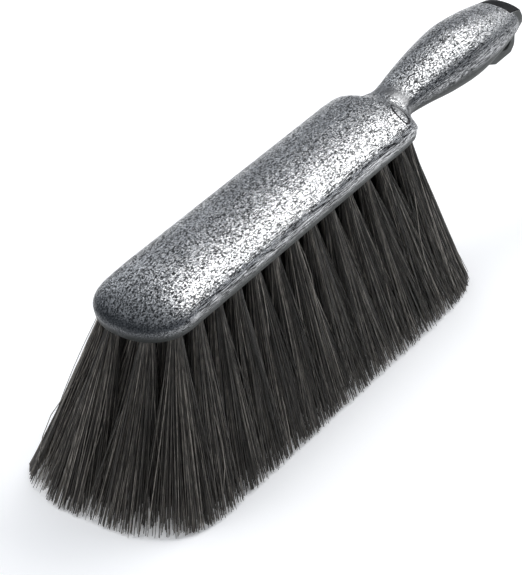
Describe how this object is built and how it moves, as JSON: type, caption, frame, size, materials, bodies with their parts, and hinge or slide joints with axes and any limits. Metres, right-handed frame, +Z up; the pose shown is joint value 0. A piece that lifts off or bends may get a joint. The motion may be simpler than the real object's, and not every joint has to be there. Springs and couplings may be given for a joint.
{
  "type": "counter brush",
  "caption": "Hand brush with a domed moulded block, a waisted grip handle with a hanging lug, and dense splayed dark filament tufts.",
  "frame": {"origin": "on the surface the bristle tips rest on, under the middle of the whole brush", "axes": "+X from the free end towards the handle, +Z up from the bristle tips to the block"},
  "size_m": [0.3391, 0.0896, 0.098],
  "materials": {
    "block": "moulded foam plastic with a streaked metallic grey skin",
    "insert": "satin black moulding",
    "anchor_wire": "drawn flat wire",
    "filament": "stiff dark filament with a low sheen"
  },
  "bodies": {
    "root": {"block_handle": "block", "hanger_insert": "insert", "tuft_anchors": "anchor_wire", "tuft_row_01": "filament", "tuft_row_02": "filament", "tuft_row_03": "filament", "tuft_row_04": "filament", "tuft_row_05": "filament", "tuft_row_06": "filament", "tuft_row_07": "filament", "tuft_row_08": "filament", "tuft_row_09": "filament", "tuft_row_10": "filament", "tuft_row_11": "filament", "tuft_row_12": "filament", "tuft_row_13": "filament", "tuft_row_14": "filament", "tuft_row_15": "filament", "tuft_row_16": "filament", "tuft_row_17": "filament", "tuft_row_18": "filament", "tuft_row_19": "filament", "tuft_row_20": "filament", "tuft_row_21": "filament", "tuft_row_22": "filament", "tuft_row_23": "filament", "tuft_row_24": "filament", "tuft_row_25": "filament", "tuft_row_26": "filament", "tuft_row_27": "filament"}
  },
  "joints": []
}
